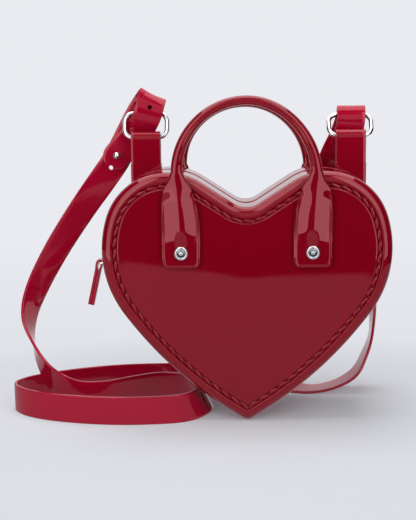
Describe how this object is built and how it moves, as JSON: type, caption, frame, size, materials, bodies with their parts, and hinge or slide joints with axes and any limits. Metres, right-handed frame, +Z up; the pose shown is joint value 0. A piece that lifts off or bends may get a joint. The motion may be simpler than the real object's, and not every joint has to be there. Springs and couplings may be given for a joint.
{
  "type": "heart shaped purse",
  "caption": "Heart shaped handbag of moulded glossy soft plastic with arched riveted handles, a zip over the top and a long shoulder strap on rings.",
  "frame": {"origin": "middle of the small flat on the heart's tip, where it rests on the ground", "axes": "+X towards the heart's right lobe as seen from the front, +Y to the back, +Z up"},
  "size_m": [0.2563, 0.0978, 0.2191],
  "materials": {
    "red_shell": "deep red soft moulded plastic, high gloss",
    "red_strap": "deep red soft plastic strap, gloss",
    "dark_red_zip": "dark red woven tape and web",
    "dark_red_teeth": "dark red moulded teeth",
    "chrome": "polished bright metal"
  },
  "bodies": {
    "back": {"back_shell": "red_shell", "back_handle": "red_shell", "back_rivets": "chrome", "back_washers": "chrome", "back_zip_tape": "dark_red_zip", "back_zip_teeth": "dark_red_teeth", "zip_stops": "chrome", "lower_gusset": "dark_red_zip", "tip_hinge": "red_shell", "left_lug": "red_shell", "right_lug": "red_shell", "left_lug_pin": "chrome", "right_lug_pin": "chrome", "strap_left_run": "red_strap", "strap_right_run": "red_strap"},
    "front": {"front_shell": "red_shell", "front_handle": "red_shell", "front_rivets": "chrome", "front_washers": "chrome", "front_zip_tape": "dark_red_zip", "front_zip_teeth": "dark_red_teeth"},
    "slider": {"zip_slider": "chrome", "zip_bail": "chrome"},
    "pull": {"zip_pull": "red_strap"},
    "left_ring_group": {"left_ring": "chrome", "left_strap_end": "red_strap", "left_stud": "chrome"},
    "right_ring_group": {"right_ring": "chrome", "right_strap_end": "red_strap", "right_stud": "chrome"}
  },
  "joints": [
    {"name": "front_open", "type": "hinge", "parent": "back", "child": "front", "pos_m": [0, 0, 0], "axis": [1, 0, 0], "range_deg": [0, 8], "deforming": ["lower_gusset"]},
    {"name": "zip_slide", "type": "hinge", "parent": "back", "child": "slider", "pos_m": [-0.02275, 0, 0.11457], "axis": [0, 1, 0], "range_deg": [0, 24]},
    {"name": "pull_swing", "type": "hinge", "parent": "slider", "child": "pull", "pos_m": [-0.09969, 0, 0.10239], "axis": [0, 1, 0], "range_deg": [0, 150]},
    {"name": "left_ring_swing", "type": "hinge", "parent": "back", "child": "left_ring_group", "pos_m": [-0.0674, 0.01105, 0.18625], "axis": [1, 0, 0], "range_deg": [0, 45], "deforming": ["strap_left_run"]},
    {"name": "right_ring_swing", "type": "hinge", "parent": "back", "child": "right_ring_group", "pos_m": [0.071, 0.01105, 0.18625], "axis": [1, 0, 0], "range_deg": [0, 65], "deforming": ["strap_right_run"]}
  ]
}
